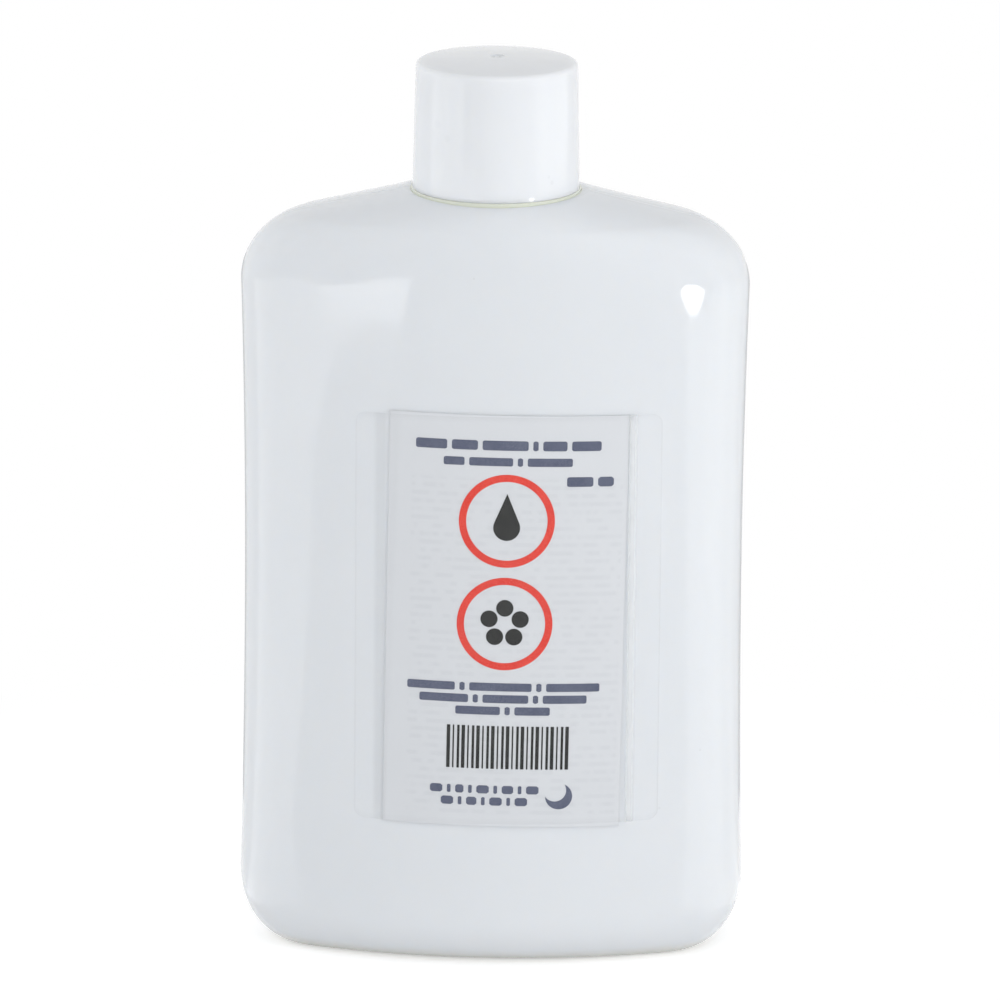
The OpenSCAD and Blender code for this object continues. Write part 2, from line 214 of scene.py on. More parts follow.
def end_radius(z, depth, t):
    full = (2 * PANEL_R * HALF_D - side_w(z) ** 2 - HALF_D ** 2) / (2 * (PANEL_R - side_w(z)))
    return (full - t) * depth / (HALF_D - t)


END_STEPS = 18
PANEL_STEPS = 26
SEAM_ANGLES = (0.0, 0.7, 1.5)


def ring_angles():
    """Surface angles round a ring, close together at the two mould seams."""
    tangent = math.degrees(math.atan2(PANEL_Y, HALF_W - END_R))
    ends = np.linspace(SEAM_ANGLES[-1], tangent, END_STEPS, endpoint=False)
    panel = np.linspace(tangent, 90, PANEL_STEPS)
    quarter = np.concatenate([SEAM_ANGLES[:-1], ends, panel])
    half = np.concatenate([quarter, 180 - quarter[-2::-1]])
    return np.radians(np.concatenate([half, 360 - half[-2:0:-1]]))


ANGLES = ring_angles()
COLUMNS = len(ANGLES)


def oval(w, d, r, z):
    """One ring of an oval made of four tangent arcs."""
    c = ((w - r) ** 2 - (d - r) ** 2) / (2 * (d - r))
    q = np.arcsin(np.abs(np.sin(ANGLES)))
    ends = q < math.atan2(c, w - r)
    x = np.where(ends, w - r + r * np.cos(q), (d + c) * np.cos(q))
    y = np.where(ends, r * np.sin(q), (d + c) * np.sin(q) - c)
    return np.stack([x * np.sign(np.cos(ANGLES)), y * np.sign(np.sin(ANGLES)), np.full(COLUMNS, z)], 1)


def circle(r, z):
    return oval(r, r, r / 2, z)


def body_ring(w, z, t):
    depth = side_d(z, t)
    return oval(w, depth, end_radius(z, depth, t), z)


def wall_rings(t, heel, side, corner, slope):
    """Rings from the foot to the seat, set in by t."""
    rings = []
    for q in np.linspace(0, math.pi / 2, heel):
        z = HEEL_H - (HEEL_H - t) * math.cos(q)
        rings.append(body_ring(side_w(z) - HEEL_W + (HEEL_W - t) * math.sin(q), z, t))
    for z in np.linspace(HEEL_H, CORNER_Z, side)[1:]:
        rings.append(body_ring(side_w(z) - t, z, t))
    for q in np.linspace(0, corner_end(t), corner)[1:]:
        z = CORNER_Z + (CORNER_H - t) * math.sin(q)
        rings.append(body_ring(HALF_W - CORNER_W + (CORNER_W - t) * math.cos(q), z, t))
    low = corner_top(t)
    for q in np.linspace(0, math.pi / 2, slope)[1:]:
        z = low + (SEAT_Z - t - low) * math.sin(q)
        rings.append(body_ring(corner_x(t) - (z - low) / math.tan(SHOULDER_SLOPE), z, t))
    return rings


def dome_rings(t, steps):
    """Rings of the hollowed base, from its middle out to the standing ring."""
    a = HALF_W - HEEL_W - FOOT_W
    b = HALF_D - HEEL_D - FOOT_W
    r = b * END_R / HALF_D
    rings = []
    for q in np.radians(np.linspace(88, 0, steps)):
        s = math.cos(q)
        rings.append(oval(a * s, b * s, r * s, t + PUSHUP * math.sin(q)))
    return rings


def thread_height(angle, z, start, turns, phase):
    """How far into its full height a ridge stands, for rings of angles and heights."""
    total = np.zeros(np.broadcast(angle, z).shape)
    for k in range(int(turns) + 1):
        done = np.mod(angle - phase, 2 * math.pi) / (2 * math.pi) + k
        fade = smooth(np.minimum(done, turns - done) / FADE_TURNS)
        away = np.abs(z - start - PITCH * done)
        flank = np.clip((RIDGE_BASE / 2 - away) / (RIDGE_BASE - RIDGE_CREST) * 2, 0, 1)
        total = np.maximum(total, flank * fade)
    return total


def cut_at_ring(rings):
    """Ends each column of the body's skin where it meets the low ring at the neck's foot."""
    for k in range(1, len(rings)):
        last, here = rings[k - 1], rings[k]
        last_far = np.hypot(last[:, 0], last[:, 1])
        far = np.hypot(here[:, 0], here[:, 1])
        cut = (far < FOOT_RING_R) & (here[:, 2] > SEAT_Z - ROLL_H)
        part = np.where(cut, (last_far - FOOT_RING_R) / np.maximum(last_far - far, 1e-12), 1.0)
        rings[k] = last + (here - last) * part[:, None]


def foot_ring_rings(seat):
    """Rings up the low ring's wall and over its top, from the seat's outline inwards."""
    out = seat[:, :2] * (FOOT_RING_R / np.hypot(seat[:, 0], seat[:, 1]))[:, None]
    rings = [np.column_stack([out, seat[:, 2]])]
    for q in np.linspace(0, math.pi / 2, 5):
        scale = 1 - RING_BEVEL * (1 - math.cos(q)) / FOOT_RING_R
        rings.append(np.column_stack([out * scale, np.full(COLUMNS, FOOT_RING_Z - RING_BEVEL * (1 - math.sin(q)))]))
    inner = circle(NECK_R + NECK_BEVEL, FOOT_RING_Z)
    return rings + [rings[-1] * (1 - s) + inner * s for s in (0.35, 0.7)]


def neck_rings():
    """Rings up the outside of the neck, over the lip and down the bore."""
    bead_low = BEAD_Z - BEAD_W / 2
    bead_high = BEAD_Z + BEAD_W / 2
    corners = [
        (FOOT_RING_Z, NECK_R + NECK_BEVEL), (FOOT_RING_Z + NECK_BEVEL, NECK_R),
        (bead_low - BEAD_OUT / 2, NECK_R), (bead_low, NECK_R + BEAD_OUT),
        (bead_high, NECK_R + BEAD_OUT), (bead_high + BEAD_OUT / 2, NECK_R),
        (MOUTH_Z - NECK_BEVEL, NECK_R), (MOUTH_Z, NECK_R - NECK_BEVEL)]
    heights, radii = zip(*corners)
    rings = []
    for z in np.linspace(FOOT_RING_Z, MOUTH_Z, 136):
        ridge = NECK_RIDGE * thread_height(ANGLES, z, NECK_THREAD_Z, NECK_TURNS, 0)
        r = np.interp(z, heights, radii) + ridge
        rings.append(circle(1.0, z) * np.stack([r, r, np.ones(COLUMNS)], 1))
    lip = 0.25 * MM
    for q in np.linspace(0.2, 1, 4) * math.pi / 2:
        rings.append(circle(BORE_R + lip * (1 - math.sin(q)), MOUTH_Z - lip * (1 - math.cos(q))))
    for z in np.linspace(MOUTH_Z - lip, SEAT_Z - WALL, 10)[1:]:
        rings.append(circle(BORE_R, z))
    return rings


def grid_normals(rings):
    """Outward normals of a stack of closed rings."""
    along = np.gradient(rings, axis=0)
    around = np.roll(rings, -1, axis=1) - np.roll(rings, 1, axis=1)
    normals = np.cross(around, along)
    return normals / np.maximum(np.linalg.norm(normals, axis=2, keepdims=True), 1e-12)


SEAM_OUT = 0.05 * MM
# Shallow sinks of the blown panels: place across, height, radius across, radius up, depth
SINKS = [(-24, 128, 15, 9, 0.02), (-12, 122, 14, 8, 0.02), (30, 121, 12, 11, 0.03), (-30, 18, 13, 8, 0.05)]


def panel_sink(points):
    """Depth of the blown panels' shallow sinks at each point, front and back alike."""
    depth = np.zeros(points.shape[:2])
    for x, z, across, up, deep in SINKS:
        far = ((points[..., 0] - x * MM) / (across * MM)) ** 2 + ((points[..., 2] - z * MM) / (up * MM)) ** 2
        depth += deep * MM * np.exp(-far)
    return depth * (np.abs(points[..., 1]) > HALF_D / 2)


def make_bottle():
    """One skin: up the outside, over the lip, down the bore and round the inside."""
    outer = np.array(dome_rings(0, 12) + wall_rings(0, 20, 36, 26, 22))
    normals = grid_normals(outer)
    outer = outer - normals * panel_sink(outer)[..., None]
    seams = [0, COLUMNS // 2]
    lift = np.where(outer[:, seams, 2] > FOOT_W, SEAM_OUT, 0.0)
    outer[:, seams] += normals[:, seams] * lift[..., None]
    cut_at_ring(outer)
    inside = wall_rings(WALL, 12, 14, 12, 10)[::-1] + dome_rings(WALL, 8)[::-1]
    rings = np.concatenate([outer, np.array(foot_ring_rings(outer[-1]) + neck_rings()), np.array(inside)])
    faces = grid_faces(len(rings), COLUMNS, wrap=True)
    faces.append(tuple(range(COLUMNS - 1, -1, -1)))
    last = (len(rings) - 1) * COLUMNS
    faces.append(tuple(range(last, last + COLUMNS)))
    piece = new_piece("bottle_shell", rings.reshape(-1, 3), faces, bottle_material(),
                      "bottle_body", "bottle")
    mark_sharp(piece)
    return piece


# Cap

CAP_SEGMENTS = 224


def ridge_width(depth, height):
    return RIDGE_BASE + (RIDGE_CREST - RIDGE_BASE) * depth / height


def cap_profile():
    """Radius and height of the cap's skin from the middle of its crowned top round to its rim."""
    top_r = CAP_RIM_R - CAP_DRAFT
    edge_x = top_r - CAP_EDGE_R
    slope = 2 * math.atan(CAP_CROWN / edge_x)
    crown_r = CAP_EDGE_R + edge_x / math.sin(slope)
    gate_low = CROWN_Z - GATE_T
    pip_r = GATE_R / 3
    pip_h = GATE_T * 0.4
    profile = [(0.03 * MM, gate_low + pip_h), (pip_r * 0.7, gate_low + pip_h * 0.9), (pip_r, gate_low + pip_h * 0.1)]
    profile += [(GATE_R * 0.8, gate_low), (GATE_R * 0.93, gate_low + GATE_T * 0.15)]
    profile += [(GATE_R, CROWN_Z - GATE_T * 0.2), (GATE_R * 1.1, CROWN_Z - 0.01 * MM)]
    for q in np.linspace(math.asin(GATE_R * 1.5 / crown_r), slope, 16):
        profile.append((crown_r * math.sin(q), CROWN_Z - crown_r * (1 - math.cos(q))))
    for q in np.linspace(slope, math.pi / 2, 14)[1:]:
        profile.append((edge_x + CAP_EDGE_R * math.sin(q), CAP_TOP_Z - CAP_EDGE_R * (1 - math.cos(q))))
    side_top = CAP_TOP_Z - CAP_EDGE_R
    side_low = RIM_Z + RIM_BEVEL
    for s in np.linspace(0, 1, 24)[1:]:
        profile.append((top_r + CAP_DRAFT * s, side_top + (side_low - side_top) * s))
    for q in np.linspace(0, math.pi / 2, 6)[1:]:
        profile.append((CAP_RIM_R - RIM_BEVEL * (1 - math.cos(q)), side_low - RIM_BEVEL * math.sin(q)))
    for q in np.linspace(math.pi / 2, 0, 6):
        profile.append((SKIRT_R + RIM_BEVEL * (1 - math.cos(q)), side_low - RIM_BEVEL * math.sin(q)))
    return profile


def make_cap():
    """Turned skin with the thread raised inside its skirt."""
    angles = np.linspace(0, 2 * math.pi, CAP_SEGMENTS, endpoint=False)
    round_x, round_y = np.cos(angles), np.sin(angles)
    mid_r = (NECK_R + NECK_RIDGE + SKIRT_R - CAP_RIDGE) / 2
    flank_step = FLANK_GAP + (
        ridge_width(mid_r - NECK_R, NECK_RIDGE) + ridge_width(SKIRT_R - mid_r, CAP_RIDGE)) / 2
    late = NECK_TURNS - CAP_TURNS
    start = NECK_THREAD_Z - flank_step + PITCH * late
    rings = [np.stack([r * round_x, r * round_y, np.full(CAP_SEGMENTS, z)], 1) for r, z in cap_profile()]
    for z in np.linspace(RIM_Z + RIM_BEVEL, CEILING_Z, 124)[1:]:
        ridge = CAP_RIDGE * thread_height(angles, z, start, CAP_TURNS, 2 * math.pi * late)
        r = SKIRT_R - ridge
        rings.append(np.stack([r * round_x, r * round_y, np.full(CAP_SEGMENTS, z)], 1))
    for r in (SKIRT_R * 0.6, SKIRT_R * 0.2):
        rings.append(np.stack([r * round_x, r * round_y, np.full(CAP_SEGMENTS, CEILING_Z)], 1))
    faces = [face[::-1] for face in grid_faces(len(rings), CAP_SEGMENTS, wrap=True)]
    faces.append(tuple(range(CAP_SEGMENTS)))
    last = (len(rings) - 1) * CAP_SEGMENTS
    faces.append(tuple(range(last + CAP_SEGMENTS - 1, last - 1, -1)))
    return new_piece("screw_cap", np.concatenate(rings), faces, cap_material(), "cap_body", "cap")


# Leaflet, print and film

def front_y(x, up):
    """Point of the front panel's surface, raised by up."""
    return PANEL_Y - np.sqrt((PANEL_R + up) ** 2 - x ** 2)


def leaf_place(u, v, up):
    """Places flat points of the leaflet's own plane on the bottle, raised by up."""
    x = LEAF_X + u * math.cos(LEAF_TILT) + v * math.sin(LEAF_TILT)
    z = LEAF_Z - u * math.sin(LEAF_TILT) + v * math.cos(LEAF_TILT)
    return np.stack([x, front_y(x, up), z], -1)


def make_leaflet():
    """One sheet folded once at its left edge, swept up the label's height."""
    across = np.linspace(LEAF_W / 2, -LEAF_W / 2 + LEAF_T / 2, 100)
    turn = np.linspace(0, math.pi, 13)[1:-1]

    def side(r):
        middle = PLY_GAP + LEAF_T / 2
        back = [(u, middle - r) for u in across]
        fold = [(-LEAF_W / 2 + LEAF_T / 2 - r * math.sin(q), middle - r * math.cos(q)) for q in turn]
        front = [(u, middle + r) for u in across[::-1]]
        return back + fold + front

    section = np.array(side(LEAF_T / 2) + side(PLY_GAP / 2)[::-1])
    rows = np.linspace(-LEAF_H / 2, LEAF_H / 2, 60)
    points = np.array([leaf_place(section[:, 0], np.full(len(section), v), section[:, 1]) for v in rows])
    faces = grid_faces(len(rows), len(section), wrap=True)
    n = len(section) // 2
    last = (len(rows) - 1) * len(section)
    for i in range(n - 1):
        j = len(section) - 1 - i
        faces.append((i + 1, i, j, j - 1))
        faces.append((last + i, last + i + 1, last + j - 1, last + j))
    piece = new_piece("leaflet_sheet", points.reshape(-1, 3), faces, paper_material(),
                      "bottle_body", "leaflet")
    mark_sharp(piece)
    return piece


def mark_sharp(piece):
    """Keeps the thin edges of a sheet crisp."""
    piece.data.set_sharp_from_angle(angle=math.radians(40))


def closed_patch(low, high, faces):
    """The points and faces of a thin solid between two like layers of points."""
    count = len(low)
    edges = {(face[i - 1], face[i]) for face in faces for i in range(len(face))}
    border = [(a, b) for a, b in edges if (b, a) not in edges]
    sides = [(b, a, a + count, b + count) for a, b in sorted(border)]
    back = [tuple(i + count for i in face[::-1]) for face in faces]
    return np.concatenate([high, low]), list(faces) + back + sides


def rounded_grid(width, height, corner, columns, rows):
    """Points of a rectangle with round corners, and its quads."""
    s = np.sin(np.linspace(-math.pi / 2, math.pi / 2, columns)) if columns > 8 else np.linspace(-1, 1, columns)
    x = s * width / 2
    over = np.maximum(0, np.abs(x) - (width / 2 - corner))
    half = height / 2 - corner + np.sqrt(np.maximum(0, corner ** 2 - over ** 2))
    v = np.linspace(-1, 1, rows)
    points = np.stack([np.tile(x, rows), np.repeat(v, columns) * np.tile(half, rows)], 1)
    return points, grid_faces(rows, columns)


def bar(x, z, width, height):
    """A word's bar with softly rounded corners, on a grid fine enough to bend with the bottle."""
    points, faces = rounded_grid(width, height, min(width, height) * 0.2, 2 + math.ceil(width / (0.5 * MM)), 3)
    return points + [x, z], faces


def blob(outline, layers=3):
    """Fills a closed outline round its middle."""
    outline = np.array(outline)
    middle = outline.mean(axis=0)
    count = len(outline)
    rings = [middle + (outline - middle) * (k + 1) / layers for k in range(layers)]
    points = np.concatenate([[middle]] + rings)
    faces = [(0, 1 + i, 1 + (i + 1) % count) for i in range(count)]
    for k in range(layers - 1):
        for i in range(count):
            a = 1 + k * count + i
            b = 1 + k * count + (i + 1) % count
            faces.append((a, a + count, b + count, b))
    return points, faces


def band(inner, outer, wrap):
    """Fills the space between two lines that have as many points each."""
    points = np.concatenate([np.array(outer), (np.array(inner) + np.array(outer)) / 2, np.array(inner)])
    faces = [face[::-1] for face in grid_faces(3, len(outer), wrap=wrap)]
    return points, faces


def arc(x, z, radius, start, end, steps):
    turn = np.radians(np.linspace(start, end, steps))
    return [(x + radius * math.cos(q), z + radius * math.sin(q)) for q in turn]


def words(lengths, z, height, x=0.0):
    """A centred row of bars, one for each word."""
    total = sum(lengths) * MM + WORD_GAP * (len(lengths) - 1)
    left = x - total / 2
    made = []
    for length in lengths:
        made.append(bar(left + length * MM / 2, z, length * MM, height))
        left += length * MM + WORD_GAP
    return made


def crescent(x, z, radius):
    """A plain crescent moon, open towards its upper left."""
    inner_r = radius * 0.85
    shift_x, shift_z = -radius * 0.3, radius * 0.45
    gap = math.hypot(shift_x, shift_z)
    aim = math.degrees(math.atan2(shift_z, shift_x))
    out_half = math.degrees(math.acos((radius ** 2 + gap ** 2 - inner_r ** 2) / (2 * radius * gap)))
    in_half = math.degrees(math.acos((radius ** 2 - gap ** 2 - inner_r ** 2) / (2 * inner_r * gap)))
    outer = arc(x, z, radius, aim + out_half, aim + 360 - out_half, 48)
    inner = arc(x + shift_x, z + shift_z, inner_r, aim + in_half, aim + 360 - in_half, 48)
    return band(inner, outer, wrap=False)


def slate_shapes():
    small_h = WORD_H * 0.85
    row_step = WORD_H * 1.25
    heading_z = RING_Z + RING_D / 2 + WORD_H * 3
    notes_z = RING_LOW - RING_D / 2 - WORD_H * 1.8
    codes_z = STRIPES_Z - STRIPES_H / 2 - WORD_H * 2.2
    codes_x = -3.2 * MM
    return (
        words([6, 5, 8.8, 1, 4.6, 5.6], heading_z, WORD_H)
        + words([4, 8.4, 1, 8.6], heading_z - WORD_H * 1.7, small_h)
        + words([5, 3], heading_z - WORD_H * 3.7, WORD_H, x=LEAF_W / 2 - 7.1 * MM)
        + words([9.2, 1, 12, 1, 10.2], notes_z, small_h)
        + words([9.4, 1, 8.8, 1, 8.4], notes_z - row_step, small_h)
        + words([8.6, 1, 6.8], notes_z - 2 * row_step, small_h)
        + words([2.4, 0.7, 1.6, 0.7, 2.4, 0.7, 2.2, 0.7, 2.4], codes_z, small_h, x=codes_x)
        + words([2.4, 0.7, 2, 0.7, 2.4, 0.7, 2.4], codes_z - row_step, small_h, x=codes_x)
        + [crescent(11.2 * MM, codes_z - row_step / 2, 2.6 * MM)])


def red_shapes():
    return [
        band(arc(0, z, RING_D / 2 - RING_LINE, 0, 356, 90), arc(0, z, RING_D / 2, 0, 356, 90), wrap=True)
        for z in (RING_Z, RING_LOW)]


def black_shapes():
    """A drop with a pointed top, a flower of five round petals and a block of stripes."""
    drop_r = RING_D * 0.14
    drop_tip = 2.6
    edge = math.degrees(math.asin(1 / drop_tip))
    drop_z = RING_Z - drop_r / 2
    shapes = [blob(arc(0, drop_z, drop_r, 180 - edge, 360 + edge, 33) + [(0, drop_z + drop_r * drop_tip)])]
    petal_r = RING_D * 0.09
    for q in np.radians(90 + np.arange(5) * 72):
        shapes.append(blob(arc(petal_r * 1.9 * math.cos(q), RING_LOW + petal_r * 1.9 * math.sin(q),
                               petal_r, 0, 350, 36)))
    step = STRIPES_W / STRIPES
    for i in range(STRIPES):
        width = step * (0.7, 0.3, 0.5)[i % 3]
        points, faces = rounded_grid(width, STRIPES_H, 0.02 * MM, 3, 3)
        shapes.append((points + [STRIPES_X + (i - (STRIPES - 1) / 2) * step, STRIPES_Z], faces))
    return shapes


def make_print(name, shapes, material, node):
    """Lays flat shapes on the leaflet as one thin skin of ink."""
    points, faces = [], []
    start = 0
    for flat, flat_faces in shapes:
        low = leaf_place(flat[:, 0], flat[:, 1], LEAF_UP + INK_GAP)
        high = leaf_place(flat[:, 0], flat[:, 1], LEAF_UP + INK_GAP + INK_T)
        patch, patch_faces = closed_patch(low, high, flat_faces)
        points.append(patch)
        faces += [tuple(i + start for i in face) for face in patch_faces]
        start += len(patch)
    piece = new_piece(name, np.concatenate(points), faces, material, "bottle_body", node)
    mark_sharp(piece)
    return piece


def film_lift(x):
    """Height at which the film stands off the bottle: over the leaflet, then down at both sides."""
    return FILM_UP * smooth((TENT_HALF + TENT_W - np.abs(x - LEAF_X)) / TENT_W)


def make_film():
    flat, faces = rounded_grid(FILM_W, FILM_H, FILM_CORNER, 161, 61)
    x = flat[:, 0] + FILM_X
    z = flat[:, 1] + FILM_Z
    low = np.stack([x, front_y(x, film_lift(x)), z], 1)
    high = np.stack([x, front_y(x, film_lift(x) + FILM_T), z], 1)
    points, faces = closed_patch(low, high, faces)
    piece = new_piece("label_film", points, faces, film_material(), "bottle_body", "cover_film")
    mark_sharp(piece)
    edge_x = FILM_W / 2 - np.abs(flat[:, 0])
    edge_z = FILM_H / 2 - np.abs(flat[:, 1])
    near = np.minimum(edge_x, edge_z)
    corner = np.maximum(FILM_CORNER - edge_x, 0) ** 2 + np.maximum(FILM_CORNER - edge_z, 0) ** 2
    near = np.where(corner > 0, np.minimum(near, FILM_CORNER - np.sqrt(corner)), near)
    rim = 1 - smooth(near / (0.5 * MM))
    attribute = piece.data.attributes.new("rim", "FLOAT", "POINT")
    attribute.data.foreach_set("value", np.concatenate([rim, rim]).astype(np.float32))
    return piece


# Materials

class Shader:
    """A material's node tree, with short calls that add a node and link it."""

    def __init__(self, name):
        self.material = bpy.data.materials.new(name)
        self.material.use_nodes = True
        self.tree = self.material.node_tree
        self.bsdf = self.tree.nodes["Principled BSDF"]
        self.out = self.tree.nodes["Material Output"]
        self.place = self.add("ShaderNodeTexCoord").outputs["Object"]

    def add(self, kind, inputs=None, **settings):
        node = self.tree.nodes.new(kind)
        for key, value in settings.items():
            setattr(node, key, value)
        for key, value in (inputs or {}).items():
            self.feed(node.inputs[key], value)
        return node

    def feed(self, socket, value):
        if isinstance(value, bpy.types.NodeSocket):
            self.tree.links.new(value, socket)
        else:
            socket.default_value = value

    def set(self, **values):
        for key, value in values.items():
            self.feed(self.bsdf.inputs[key.replace("_", " ")], value)

    def math(self, operation, a, b=0.0, clamp=False):
        return self.add("ShaderNodeMath", {0: a, 1: b}, operation=operation, use_clamp=clamp).outputs[0]

    def axes(self):
        return self.add("ShaderNodeSeparateXYZ", {0: self.place}).outputs

    def noise(self, scale, detail=2.0, roughness=0.5, place=None):
        node = self.add("ShaderNodeTexNoise", {
            "Vector": place or self.place, "Scale": scale, "Detail": detail, "Roughness": roughness})
        return node.outputs["Fac"]

    def span(self, value, low, high, to_low=0.0, to_high=1.0):
        """Moves value smoothly from to_low to to_high as it goes from low to high."""
        return self.add("ShaderNodeMapRange", {
            "Value": value, "From Min": low, "From Max": high, "To Min": to_low, "To Max": to_high},
            interpolation_type="SMOOTHSTEP").outputs["Result"]

    def mix(self, factor, a, b):
        node = self.add("ShaderNodeMix", data_type="RGBA")
        for index, value in ((0, factor), (6, a), (7, b)):
            self.feed(node.inputs[index], value)
        return node.outputs[2]

    def bump(self, height, distance, normal=None):
        node = self.add("ShaderNodeBump", {"Height": height, "Strength": 1.0, "Distance": distance})
        if normal:
            self.feed(node.inputs["Normal"], normal)
        return node.outputs["Normal"]

    def spot(self, x, y, z, radius):
        """1 inside a small soft spot round a place, 0 outside."""
        far = self.add("ShaderNodeVectorMath", {0: self.place, 1: (x, y, z)}, operation="DISTANCE").outputs["Value"]
        return self.span(far, radius * 0.4, radius, 1.0, 0.0)


    def seen_ray(self):
        """1 on rays from the eye, straight or by reflection or through clear things, 0 on light's own."""
        paths = self.add("ShaderNodeLightPath").outputs
        seen = self.math("MAXIMUM", paths["Is Camera Ray"], paths["Is Glossy Ray"])
        return self.math("MAXIMUM", seen, paths["Is Transmission Ray"])


def bottle_material():
    """Glossy white polyethylene: fine orange peel, faint cloudiness and a few specks, with painted warm shade on the
    low ring under the cap and painted warm bounce light at the foot.
    """
    s = Shader("white_bottle")
    x, y, z = s.axes()
    cloud = s.noise(26.0, 3.0)
    colour = s.mix(cloud, (0.735, 0.765, 0.800, 1), (0.775, 0.800, 0.832, 1))
    # Painted shade: the wall of the low ring under the cap's rim is tinted darker and warmer, standing in for shade
    # and warm bounce light in the gap.
    radius = s.math("SQRT", s.math("ADD", s.math("MULTIPLY", x, x), s.math("MULTIPLY", y, y)))
    ring = s.math("MULTIPLY", s.span(radius, FOOT_RING_R + 0.25 * MM, FOOT_RING_R + 0.05 * MM),
                  s.span(z, SEAT_Z - 0.6 * MM, SEAT_Z - 0.4 * MM))
    ring = s.math("MULTIPLY", ring, s.span(z, FOOT_RING_Z + 0.3 * MM, FOOT_RING_Z + 0.1 * MM))
    colour = s.mix(ring, colour, (0.71, 0.735, 0.615, 1))
    # Painted warm bounce light from the table, strongest at the base and gone 3.2 mm up.
    foot = s.span(z, 3.2 * MM, 0.2 * MM)
    colour = s.mix(s.math("MULTIPLY", foot, 0.55), colour, (0.70, 0.68, 0.56, 1))
    for px, pz, size in ((-3.3, 137.2, 0.28), (40.9, 42.4, 0.30), (33.2, 31.4, 0.34), (21.5, 143.5, 0.22)):
        py = float(front_y(px * MM, 0))
        colour = s.mix(s.math("MULTIPLY", s.spot(px * MM, py, pz * MM, size * MM), 0.16), colour,
                       (0.45, 0.46, 0.48, 1))
    peel = s.bump(s.noise(520.0, 2.0), 0.0015 * MM)
    seam = s.span(s.math("ABSOLUTE", y), 0.04 * MM, 0.22 * MM, 1.0, 0.0)
    waves = s.bump(s.noise(60.0, 1.0), 0.02 * MM, peel)
    s.set(Base_Color=colour, Roughness=s.span(s.noise(180.0), 0.3, 0.7, 0.04, 0.07),
          Normal=s.bump(seam, 0.03 * MM, waves))
    s.set(IOR=1.5, Subsurface_Weight=0.6, Subsurface_Radius=(1.0, 0.9, 0.8), Subsurface_Scale=0.003)
    return s.material


def cap_material():
    """Glossy white polypropylene, with a dull gate mark and faint handling smudges."""
    s = Shader("white_cap")
    x, y, z = s.axes()
    cloud = s.noise(40.0, 3.0)
    colour = s.mix(cloud, (0.748, 0.774, 0.808, 1), (0.783, 0.807, 0.836, 1))
    for px, pz, size, depth in ((11.2, 154.2, 0.6, 0.08), (10.6, 155.4, 0.5, 0.06), (-11.0, 165.2, 1.3, 0.04),
                                (-9.0, 162.8, 1.0, 0.05)):
        py = -math.sqrt(CAP_RIM_R ** 2 - (px * MM) ** 2)
        colour = s.mix(s.math("MULTIPLY", s.spot(px * MM, py, pz * MM, size * MM), depth), colour,
                       (0.35, 0.36, 0.38, 1))
    for px, py, size in ((-0.9, -0.3, 0.6), (0.9, -0.1, 0.8)):
        colour = s.mix(s.math("MULTIPLY", s.spot(px * MM, py * MM, CROWN_Z - 0.1 * MM, size * MM), 0.25), colour,
                       (0.40, 0.41, 0.43, 1))
    fine = s.bump(s.noise(700.0, 2.0), 0.002 * MM)
    waves = s.bump(s.noise(110.0, 1.0), 0.01 * MM, fine)
    s.set(Base_Color=colour, Roughness=s.span(s.noise(220.0), 0.3, 0.7, 0.06, 0.10), Normal=waves)
    s.set(IOR=1.49, Subsurface_Weight=0.6, Subsurface_Radius=(1.0, 0.95, 0.85), Subsurface_Scale=0.003)
    return s.material


def leaf_axes(s):
    """Places across and up the leaflet's own plane."""
    x, y, z = s.axes()
    dx = s.math("SUBTRACT", x, LEAF_X)
    dz = s.math("SUBTRACT", z, LEAF_Z)
    cos, sin = math.cos(LEAF_TILT), math.sin(LEAF_TILT)
    u = s.math("SUBTRACT", s.math("MULTIPLY", dx, cos), s.math("MULTIPLY", dz, sin))
    v = s.math("ADD", s.math("MULTIPLY", dx, sin), s.math("MULTIPLY", dz, cos))
    return u, v


def paper_material():
    """Thin white paper: fibres, painted shade along the fold, and faint lines that show through from its back."""
    s = Shader("label_paper")
    u, v = leaf_axes(s)
    fibre = s.noise(2600.0, 3.0, 0.6)
    colour = s.mix(fibre, (0.625, 0.648, 0.682, 1), (0.660, 0.682, 0.712, 1))
    row_h = 1.62 * MM
    row = s.math("FLOOR", s.math("DIVIDE", v, row_h))
    in_row = s.math("FRACT", s.math("DIVIDE", v, row_h))
    line = s.math("MULTIPLY", s.span(in_row, 0.22, 0.36), s.span(in_row, 0.86, 0.72))
    place = s.add("ShaderNodeCombineXYZ", {0: s.math("MULTIPLY", u, 420.0), 1: s.math("MULTIPLY", row, 7.3)})
    broken = s.noise(1.0, 1.0, place=place.outputs[0])
    across = s.math("MULTIPLY", s.span(u, -18.6 * MM, -18.2 * MM), s.span(u, 22.2 * MM, 21.8 * MM))
    along = s.math("MULTIPLY", s.span(v, -39 * MM, -38 * MM), s.span(v, 29 * MM, 28 * MM))
    ghost = s.math("MULTIPLY", s.math("MULTIPLY", line, across), s.math("MULTIPLY", along, s.span(broken, 0.40, 0.56)))
    colour = s.mix(s.math("MULTIPLY", ghost, 0.085), colour, (0.30, 0.32, 0.37, 1))
    # Painted shade: a soft darker band along the folded left edge, where the fold and the lifted film shade the page.
    slant = s.math("MULTIPLY", s.math("ADD", v, LEAF_H / 2), 1.3 / 81.8)
    into = s.math("SUBTRACT", s.math("ADD", u, LEAF_W / 2 - 0.4 * MM), slant)
    fold = s.span(into, 0.7 * MM, -0.3 * MM)
    colour = s.mix(s.math("MULTIPLY", fold, 0.07), colour, (0.36, 0.38, 0.40, 1))
    s.set(Base_Color=colour, Roughness=s.span(fibre, 0.2, 0.8, 0.55, 0.7), Normal=s.bump(fibre, 0.01 * MM))
    s.set(IOR=1.45, Specular_IOR_Level=0.3)
    return s.material


